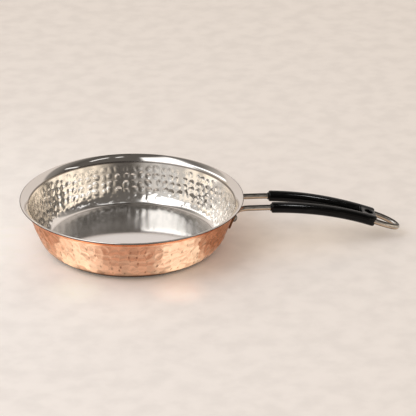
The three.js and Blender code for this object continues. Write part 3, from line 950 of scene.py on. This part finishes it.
class HandleLine:
    """Centre-line of the handle: the paddle on the wall, the bend, the arch and the loop."""

    def __init__(self, body, wire, rivets):
        section = PanSection(body)
        tilt = section.tilt
        self.wire = wire
        self.height = body.shoulder_height - wire.rod_radius - wire.rod_below_shoulder
        self.paddle_depth = body.clearance + wire.paddle_thickness / 2
        corner_radius = section.wall_radius(self.height) + self.paddle_depth / math.cos(tilt)
        azimuth = math.asin(wire.rod_half_spacing / corner_radius)
        lean, rise = math.sin(tilt), math.cos(tilt)
        ahead, aside = math.cos(azimuth), math.sin(azimuth)
        self.up = Vector((lean * ahead, lean * aside, rise))
        self.out = Vector((rise * ahead, rise * aside, -lean))
        self.corner = Vector((corner_radius * ahead, wire.rod_half_spacing, self.height))
        self.rivet_below = (rivets.drop - wire.rod_radius - wire.rod_below_shoulder) / math.cos(tilt)
        self.rivet_seat = self.corner - self.up * self.rivet_below

    def point(self, distance):
        """A point of the arch, at mid-width."""
        radius = self.wire.arch_radius
        turn = distance / radius
        drop = radius * (1 - math.cos(turn))
        return Vector((self.wire.arch_start + radius * math.sin(turn), 0, self.height - drop))

    def under(self, distance):
        """The direction of the arch's underside."""
        turn = distance / self.wire.arch_radius
        return Vector((-math.sin(turn), 0, -math.cos(turn)))


def smooth_step(value, low, high):
    """0 up to low, 1 from high on, and a smooth step between them."""
    share = np.clip((value - low) / (high - low), 0, 1)
    return share * share * (3 - 2 * share)


def half_spacing(distance, wire, grip):
    """Half the distance between the rods, which draw together up to the far end of the grip."""
    share = smooth_step(distance, 0, grip.start + grip.length)
    return wire.rod_half_spacing + (wire.loop_half_spacing - wire.rod_half_spacing) * share


def wire_stations(handle, wire, grip):
    """Sections of the wire's rear half: (centre, underside, half width, half thickness, flatness)."""
    stations = []
    tail = handle.rivet_below + wire.paddle_tail - wire.bend_fall
    for share in np.linspace(0, 1, PADDLE_SECTIONS) ** 2:
        distance = share * tail
        fall = max(0, 1 - (distance + TIP_OFFSET) / (wire.paddle_width / 2))
        width = wire.paddle_width / 2 * math.sqrt(1 - fall * fall)
        centre = handle.corner + handle.up * (distance - tail - wire.bend_fall)
        stations.append((centre, handle.out, width, wire.paddle_thickness / 2, 1))
    start = handle.corner - handle.up * wire.bend_fall
    end = handle.corner + Vector((wire.bend_reach, 0, 0))
    down = Vector((0, 0, -1))
    for share in np.linspace(0, 1, BEND_SECTIONS + 1)[1:]:
        centre = start * (1 - share) ** 2 + handle.corner * 2 * share * (1 - share) + end * share ** 2
        swell = smooth_step(share, 0, 1)
        width = wire.paddle_width / 2 * (1 - swell) + wire.rod_radius * swell
        thickness = wire.paddle_thickness / 2 * (1 - swell) + wire.rod_radius * swell
        stations.append((centre, handle.out.lerp(down, share), width, thickness, 1 - swell))
    rod = (wire.rod_radius, wire.rod_radius, 0)
    for distance in np.linspace(0, wire.arch_length, ARCH_SECTIONS):
        centre = handle.point(distance)
        centre.y = half_spacing(distance, wire, grip)
        stations.append((centre, handle.under(distance), *rod))
    for turn in np.linspace(0, math.pi / 2, LOOP_SECTIONS + 1)[1:]:
        distance = wire.arch_length + wire.loop_length * math.sin(turn)
        centre = handle.point(distance)
        centre.y = wire.loop_half_spacing * math.cos(turn)
        stations.append((centre, handle.under(distance), *rod))
    return stations


def mirrored(station):
    """The same section on the other side of the handle."""
    centre, under, *rest = station
    flip = Vector((1, -1, 1))
    return (centre * flip, under * flip, *rest)


def handle_wire(body, wire, grip, rivets):
    """One rod bent to a long U, with both ends hammered flat."""
    handle = HandleLine(body, wire, rivets)
    rear = wire_stations(handle, wire, grip)
    stations = [mirrored(station) for station in rear[:-1]] + rear[::-1]
    centres = np.array([station[0] for station in stations])
    distance = path_length(centres)
    turn = np.arange(WIRE_SIDES) * 2 * math.pi / WIRE_SIDES
    points = []
    runs = []
    copper_reflection_zones = []
    for place, (centre, under, half_width, half_thickness, flatness) in enumerate(stations):
        before = stations[max(place - 1, 0)][0]
        after = stations[min(place + 1, len(stations) - 1)][0]
        along = (after - before).normalized()
        across = along.cross(under).normalized()
        below = across.cross(along)
        power = 1 - flatness / 2
        wide = half_width * np.sign(np.cos(turn)) * np.abs(np.cos(turn)) ** power
        deep = half_thickness * np.sign(np.sin(turn)) * np.abs(np.sin(turn)) ** power
        points.append(np.array(centre) + np.outer(wide, across) + np.outer(deep, below))
        runs.append(np.stack([np.full(WIRE_SIDES, distance[place]), wide, deep], axis=1))
        # Where the painted reflection of the copper goes: the hammered ends, fading through the bend
        copper_reflection_zones.append(np.full(WIRE_SIDES, flatness))
    rings = len(stations)
    faces = ring_faces(rings, WIRE_SIDES)
    last = (rings - 1) * WIRE_SIDES
    faces.append(tuple(range(WIRE_SIDES))[::-1])
    faces.append(tuple(range(last, last + WIRE_SIDES)))
    piece = add_mesh("bent_handle_wire", np.concatenate(points), faces)
    add_vector(piece, "run", np.concatenate(runs))
    add_value(piece, "heat", np.concatenate(copper_reflection_zones))
    return piece


def smooth_least(first, second, reach):
    """The lesser of two fields, with a fillet where they meet."""
    share = np.clip(0.5 + 0.5 * (second - first) / reach, 0, 1)
    return second * (1 - share) + first * share - reach * share * (1 - share)


def smooth_most(first, second, reach):
    """The greater of two fields, with a fillet where they meet."""
    return -smooth_least(-first, -second, reach)


def grip_field(along, across, above, wire, grip, clearance):
    """Below zero inside the moulded grip. Its places are along the arch, across it and above it."""
    spacing = half_spacing(along, wire, grip)
    end = grip.start + grip.length
    from_rod = np.hypot(np.abs(across) - spacing, above)
    neck_radius = wire.rod_radius + clearance + grip.neck_wall
    fall = np.clip(1 - (along - grip.start - grip.neck_length) / grip.shoulder_length, 0, 1)
    leg_radius = neck_radius + (grip.radius - neck_radius) * np.sqrt(1 - fall * fall)
    leg = np.maximum(from_rod - leg_radius, grip.start - along)
    edge = grip.bridge_round
    past_length = end - grip.bridge_length - along + edge
    past_height = np.abs(above) - grip.bridge_thickness / 2 + edge
    bridge = rounded_corner(past_length, past_height) - edge
    bridge = np.maximum(bridge, np.abs(across) - spacing)
    moulded = smooth_least(leg, bridge, grip.blend)
    corner = grip.corner_radius
    past_end = along - end + corner
    past_side = np.abs(across) - spacing - grip.radius + corner - np.maximum(-past_end, 0)
    moulded = smooth_most(moulded, rounded_corner(past_end, past_side) - corner, grip.end_round)
    hole = grip.hole_radius - np.hypot(along - end + grip.bridge_length / 2, across)
    moulded = smooth_most(moulded, hole, edge)
    bore = wire.rod_radius + clearance - from_rod
    return np.maximum(moulded, bore)


def rounded_corner(first, second):
    """Distance from a quarter of the plane that both fields bound, round outside its corner."""
    outside = np.hypot(np.maximum(first, 0), np.maximum(second, 0))
    return outside + np.minimum(np.maximum(first, second), 0)


def skin_of(field, low, cell):
    """Skin the zero level of a field on a grid, with one point in each cell that the level crosses."""
    inside = field < 0
    shape = np.array(field.shape)
    total = np.zeros((*shape, 3))
    count = np.zeros(shape)
    quads = []
    for axis in range(3):
        ahead = np.roll(inside, -1, axis)
        crossed = inside != ahead
        crossed[tuple(slice(-1, None) if side == axis else slice(None) for side in range(3))] = False
        edge = np.argwhere(crossed)
        step = np.eye(3, dtype=int)[axis]
        start = field[tuple(edge.T)]
        end = field[tuple((edge + step).T)]
        place = edge + step * (start / (start - end))[:, None]
        first, second = np.eye(3, dtype=int)[[(axis + 1) % 3, (axis + 2) % 3]]
        cells = [edge - first - second, edge - second, edge, edge - first]
        for corner in cells:
            np.add.at(total, tuple(corner.T), place)
            np.add.at(count, tuple(corner.T), 1)
        flat = np.stack([np.ravel_multi_index(corner.T, shape) for corner in cells], axis=1)
        outward_first = inside[tuple(edge.T)]
        quads.append(np.where(outward_first[:, None], flat, flat[:, ::-1]))
    used = np.flatnonzero(count.ravel())
    number = np.full(count.size, -1)
    number[used] = np.arange(len(used))
    points = total.reshape(-1, 3)[used] / count.ravel()[used][:, None]
    return np.asarray(low) + points * cell, number[np.concatenate(quads)]


def settle(points, field):
    """Move points onto the zero level of a field."""
    for _ in range(SETTLE_ROUNDS):
        value = np.clip(field(*points.T), -SETTLE_LIMIT, SETTLE_LIMIT)
        slope = np.stack([
            (field(*(points + step).T) - field(*(points - step).T)) / (2 * SETTLE_REACH)
            for step in np.eye(3) * SETTLE_REACH
        ], axis=1)
        steepness = np.maximum(np.sum(slope * slope, axis=1), LEAST_STEEPNESS)
        points = points - slope * (value / steepness)[:, None]
    return points


def moulded_grip(body, wire, grip, rivets):
    """Two legs over the rods and a flat bridge with a hanging hole, moulded in one."""
    handle = HandleLine(body, wire, rivets)

    def field(along, across, above):
        return grip_field(along, across, above, wire, grip, body.clearance)

    margin = 3 * GRIP_CELL
    half_width = wire.rod_half_spacing + grip.radius + margin
    half_height = grip.radius + margin
    low = np.array([grip.start - margin, -half_width, -half_height])
    high = np.array([grip.start + grip.length + margin, half_width, half_height])
    sides = [np.arange(first, last, GRIP_CELL) for first, last in zip(low, high)]
    places, faces = skin_of(field(*np.meshgrid(*sides, indexing="ij")), low, GRIP_CELL)
    places = settle(places, field)
    turn = places[:, 0] / wire.arch_radius
    reach = wire.arch_radius + places[:, 2]
    points = np.stack([
        wire.arch_start + reach * np.sin(turn),
        places[:, 1],
        handle.height - wire.arch_radius + reach * np.cos(turn),
    ], axis=1)
    return add_mesh(GRIP_PIECE, points, faces.tolist())


def dome(radius, seat, height, steps):
    """Quarter of an ellipse, from the rim of a rivet's head to its top."""
    turn = np.linspace(0, math.pi / 2, steps + 1)
    return np.stack([radius * np.cos(turn), seat + height * np.sin(turn)], axis=1)


def rivet(name, side, body, wire, rivets):
    """A rivet through the paddle and both walls: a domed head outside and a low head inside."""
    handle = HandleLine(body, wire, rivets)
    section = PanSection(body)
    head_seat = wire.paddle_thickness / 2
    tail_seat = -handle.paddle_depth - section.inside_depth
    tail = dome(rivets.tail_radius, tail_seat, -rivets.tail_height, TAIL_STEPS)[::-1]
    head = dome(rivets.head_radius, head_seat, rivets.head_height, HEAD_STEPS)
    shank = np.array([(rivets.shank_radius, tail_seat), (rivets.shank_radius, head_seat)])
    profile = np.concatenate([tail, shank, head])
    piece = turned(name, profile, RIVET_SIDES)
    add_value(piece, "inside", spread(np.arange(len(profile)) < len(tail), RIVET_SIDES))
    flip = Vector((1, side, 1))
    out = handle.out * flip
    seat = handle.rivet_seat * flip
    piece.data.transform(Matrix.Translation(seat) @ out.to_track_quat("Z", "Y").to_matrix().to_4x4())
    return piece


class PAN_OT_copper_shell(bpy.types.Operator):
    """Build the hammered copper shell"""

    bl_idname = "pan.copper_shell"
    bl_label = "Copper shell"

    def execute(self, context):
        scene = context.scene
        piece = copper_shell(scene.pan_body, scene.pan_marks)
        dress(piece, hammered_copper(scene.pan_finishes), "copper", "copper_shell")
        return {"FINISHED"}


class PAN_OT_steel_liner(bpy.types.Operator):
    """Build the hammered steel liner with its smooth lip"""

    bl_idname = "pan.steel_liner"
    bl_label = "Steel liner"

    def execute(self, context):
        scene = context.scene
        piece = steel_liner(scene.pan_body, scene.pan_marks)
        dress(piece, lined_steel(scene.pan_finishes), "liner_steel", "steel_liner")
        return {"FINISHED"}


class PAN_OT_heat_core(bpy.types.Operator):
    """Finish the aluminium core between the copper and the steel"""

    bl_idname = "pan.heat_core"
    bl_label = "Heat core"

    def execute(self, context):
        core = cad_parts["heat_core"]
        core.data.materials.clear()
        core.data.materials.append(milled_aluminium(context.scene.pan_finishes))
        return {"FINISHED"}


class PAN_OT_handle_wire(bpy.types.Operator):
    """Build the bent wire of the handle"""

    bl_idname = "pan.handle_wire"
    bl_label = "Handle wire"

    def execute(self, context):
        scene = context.scene
        piece = handle_wire(scene.pan_body, scene.pan_wire, scene.pan_grip, scene.pan_rivets)
        dress(piece, drawn_steel(scene.pan_finishes), "wire_steel", "handle_wire")
        return {"FINISHED"}


class PAN_OT_grip(bpy.types.Operator):
    """Build the moulded twin grip"""

    bl_idname = "pan.grip"
    bl_label = "Twin grip"

    def execute(self, context):
        scene = context.scene
        piece = moulded_grip(scene.pan_body, scene.pan_wire, scene.pan_grip, scene.pan_rivets)
        dress(piece, black_moulding(scene.pan_finishes), "grip_plastic", "grip")
        return {"FINISHED"}


class PAN_OT_rivets(bpy.types.Operator):
    """Build the two rivets"""

    bl_idname = "pan.rivets"
    bl_label = "Rivets"

    def execute(self, context):
        scene = context.scene
        material = rivet_steel(scene.pan_finishes)
        for node, side in (("front_rivet", -1), ("rear_rivet", 1)):
            piece = rivet("domed_" + node, side, scene.pan_body, scene.pan_wire, scene.pan_rivets)
            dress(piece, material, "rivet_steel", node)
        return {"FINISHED"}


def from_camera(stage, right, elevation):
    """Direction from the target, by an angle to the camera's right and a height above the horizon."""
    azimuth = stage.turn + right
    flat = Vector((math.sin(azimuth), -math.cos(azimuth), 0))
    return flat * math.cos(elevation) + Vector((0, 0, math.sin(elevation)))


def look_at(piece, direction):
    """Turn a camera or a lamp to look back along a direction."""
    piece.rotation_mode = "QUATERNION"
    piece.rotation_quaternion = (-direction).to_track_quat("-Z", "Y")


def add_camera(stage):
    """The camera, at the photo's view."""
    data = bpy.data.cameras.new("camera")
    data.lens = stage.lens
    data.clip_end = 4 * stage.floor_radius
    camera = bpy.data.objects.new("camera", data)
    bpy.context.scene.collection.objects.link(camera)
    direction = from_camera(stage, 0, stage.elevation)
    camera.location = Vector(stage.target) + direction * stage.distance
    look_at(camera, direction)
    bpy.context.scene.camera = camera


def add_softbox(stage, name, power, tint, right, elevation, distance, width):
    """A square soft light. Metal doesn't show it: the room holds its gleam instead."""
    data = bpy.data.lights.new(name, "AREA")
    data.size = width
    data.energy = power
    data.color = tint
    lamp = bpy.data.objects.new(name, data)
    bpy.context.scene.collection.objects.link(lamp)
    direction = from_camera(stage, math.radians(right), math.radians(elevation))
    lamp.location = Vector(stage.target) + direction * distance
    look_at(lamp, direction)
    lamp.visible_camera = False
    lamp.visible_glossy = False
    return lamp


def add_gleam(stage, name, power, right, elevation, distance, width):
    """A lamp for gloss alone, which shows on the grip and on nothing else."""
    lamp = add_softbox(stage, name, power, (1, 1, 1), right, elevation, distance, width)
    lamp.visible_diffuse = False
    lamp.visible_glossy = True
    lit = bpy.data.collections.new(name)
    lit.objects.link(bpy.data.objects[GRIP_PIECE])
    lamp.light_linking.receiver_collection = lit


def add_floor(stage):
    """A flat round floor."""
    turn = np.arange(FLOOR_SIDES) * 2 * math.pi / FLOOR_SIDES
    rings = [np.stack([radius * np.cos(turn), radius * np.sin(turn), 0 * turn], axis=1)
             for radius in np.linspace(0, stage.floor_radius, FLOOR_RINGS + 1)[1:]]
    faces = ring_faces(FLOOR_RINGS, FLOOR_SIDES)
    faces.append(tuple(range(FLOOR_SIDES))[::-1])
    floor = add_mesh("floor", np.concatenate(rings), faces)
    floor.data.flip_normals()
    floor.data.materials.append(pale_floor(stage))


def room_in_metal(board, stage):
    """The room that metal shows: pale behind the pan, dark behind the camera, cards and soft gleams."""
    direction = board.lead("ShaderNodeTexCoord", output="Generated")
    toward = board.dot(direction, from_camera(stage, 0, 0))
    right = board.dot(direction, from_camera(stage, math.pi / 2, 0))
    height = board.dot(direction, (0, 0, 1))
    azimuth = right.math("ARCTAN2", right, toward)
    elevation = height.math("ARCSINE", height, 0.0)
    room = board.mix(azimuth.ramp(*RIGHT_CARD), stage.shade, stage.card)
    room = board.mix((-azimuth).ramp(*LEFT_SIDE), room, stage.side)
    room = board.mix((-azimuth).ramp(*LEFT_CARD), room, stage.card)
    mottle = board.noise(direction, 6, 2).ramp(0.42, 0.58)
    room = board.mix(mottle * 0.6, room, stage.ceiling)
    ceiling = board.mix(azimuth.ramp(*DARK_CORNER), stage.ceiling, stage.corner)
    left = (-azimuth).ramp(*LEFT_FIELD) * (1 - elevation.ramp(*LEFT_FIELD_TOP))
    ceiling = board.mix(left * 0.5, ceiling, stage.side)
    rear = abs(azimuth - stage.turn).ramp(*REAR_FIELD) * (1 - elevation.ramp(*REAR_FIELD_TOP))
    ceiling = board.mix(rear * 0.4, ceiling, stage.side)
    room = board.mix(elevation.ramp(*CEILING_EDGE), room, ceiling)
    halo = azimuth.band(*HALO_WIDTH) * elevation.band(*HALO_HEIGHT)
    room = board.mix(halo * 0.6, room, (1, 1, 1))
    key = azimuth.band(*KEY_WIDTH) * elevation.band(*KEY_HEIGHT)
    strip = azimuth.band(*STRIP_WIDTH)
    strip = strip * (elevation - azimuth * STRIP_SLOPE).band(*STRIP_HEIGHT)
    room = board.mix(key + strip, room, (stage.key_gleam,) * 3)
    for ends in SPARKS:
        first, last = (from_camera(stage, *degrees(*end)) for end in ends)
        half = math.degrees(first.angle(last)) / 2
        aside = abs(board.dot(direction, first.cross(last).normalized()))
        along = board.dot(direction, (first + last).normalized())
        lamp = (1 - aside.ramp(*SPARK_EDGE)) * along.ramp(*cosines(half + SPARK_FADE, half))
        room = board.mix(lamp, room, (stage.spark_gleam,) * 3)
    behind = abs(azimuth - stage.turn).ramp(*BACKDROP_SIDE) * (1 - elevation.ramp(*BACKDROP_TOP))
    return board.mix(behind, room, stage.backdrop)


def add_room(stage):
    """Even light from all round, the pale backdrop for the camera and the room that metal shows."""
    world = bpy.data.worlds.new("room")
    world.use_nodes = True
    board = Board(world.node_tree)
    glossy = board.lead("ShaderNodeLightPath", output="Is Glossy Ray")
    camera = board.lead("ShaderNodeLightPath", output="Is Camera Ray")
    lit = board.mix(glossy, stage.ambient, room_in_metal(board, stage))
    tint = board.mix(camera, lit, stage.backdrop)
    background = board.lead("ShaderNodeBackground", None, {"Color": tint, "Strength": 1.0})
    board.node("ShaderNodeOutputWorld", None, {"Surface": background})
    bpy.context.scene.world = world


class PAN_OT_stage(bpy.types.Operator):
    """Set up the floor, the light and the camera"""

    bl_idname = "pan.stage"
    bl_label = "Stage"

    def execute(self, context):
        stage = context.scene.pan_stage
        context.scene.view_settings.view_transform = "Standard"
        add_floor(stage)
        add_camera(stage)
        add_room(stage)
        add_softbox(stage, "key softbox", stage.key_power, stage.key_tint, *KEY_LAMP)
        add_gleam(stage, "left gleam", stage.left_gleam, *LEFT_GLEAM_LAMP)
        add_gleam(stage, "top gleam", stage.top_gleam, *TOP_GLEAM_LAMP)
        return {"FINISHED"}


class PAN_PT_pan(bpy.types.Panel):
    """Steps that build the pan"""

    bl_idname = "PAN_PT_pan"
    bl_label = "Frying pan"
    bl_space_type = "VIEW_3D"
    bl_region_type = "UI"
    bl_category = "Pan"

    def draw(self, context):
        for step in STEPS:
            self.layout.operator(step.bl_idname)


STEPS = (
    PAN_OT_copper_shell,
    PAN_OT_steel_liner,
    PAN_OT_heat_core,
    PAN_OT_handle_wire,
    PAN_OT_grip,
    PAN_OT_rivets,
    PAN_OT_stage,
)
GROUPS = {
    "pan_body": PanBody,
    "pan_marks": HammerMarks,
    "pan_wire": WireHandle,
    "pan_grip": MouldedGrip,
    "pan_rivets": RivetPair,
    "pan_finishes": Finishes,
    "pan_stage": StageLook,
}


def register():
    for name, group in GROUPS.items():
        bpy.utils.register_class(group)
        setattr(bpy.types.Scene, name, PointerProperty(type=group))
    for kind in (*STEPS, PAN_PT_pan):
        bpy.utils.register_class(kind)


def unregister():
    for kind in reversed((*STEPS, PAN_PT_pan)):
        bpy.utils.unregister_class(kind)
    for name, group in GROUPS.items():
        delattr(bpy.types.Scene, name)
        bpy.utils.unregister_class(group)


def main():
    register()
    bpy.ops.pan.copper_shell()
    bpy.ops.pan.steel_liner()
    bpy.ops.pan.heat_core()
    bpy.ops.pan.handle_wire()
    bpy.ops.pan.grip()
    bpy.ops.pan.rivets()
    bpy.ops.pan.stage()


if __name__ == "__main__":
    main()
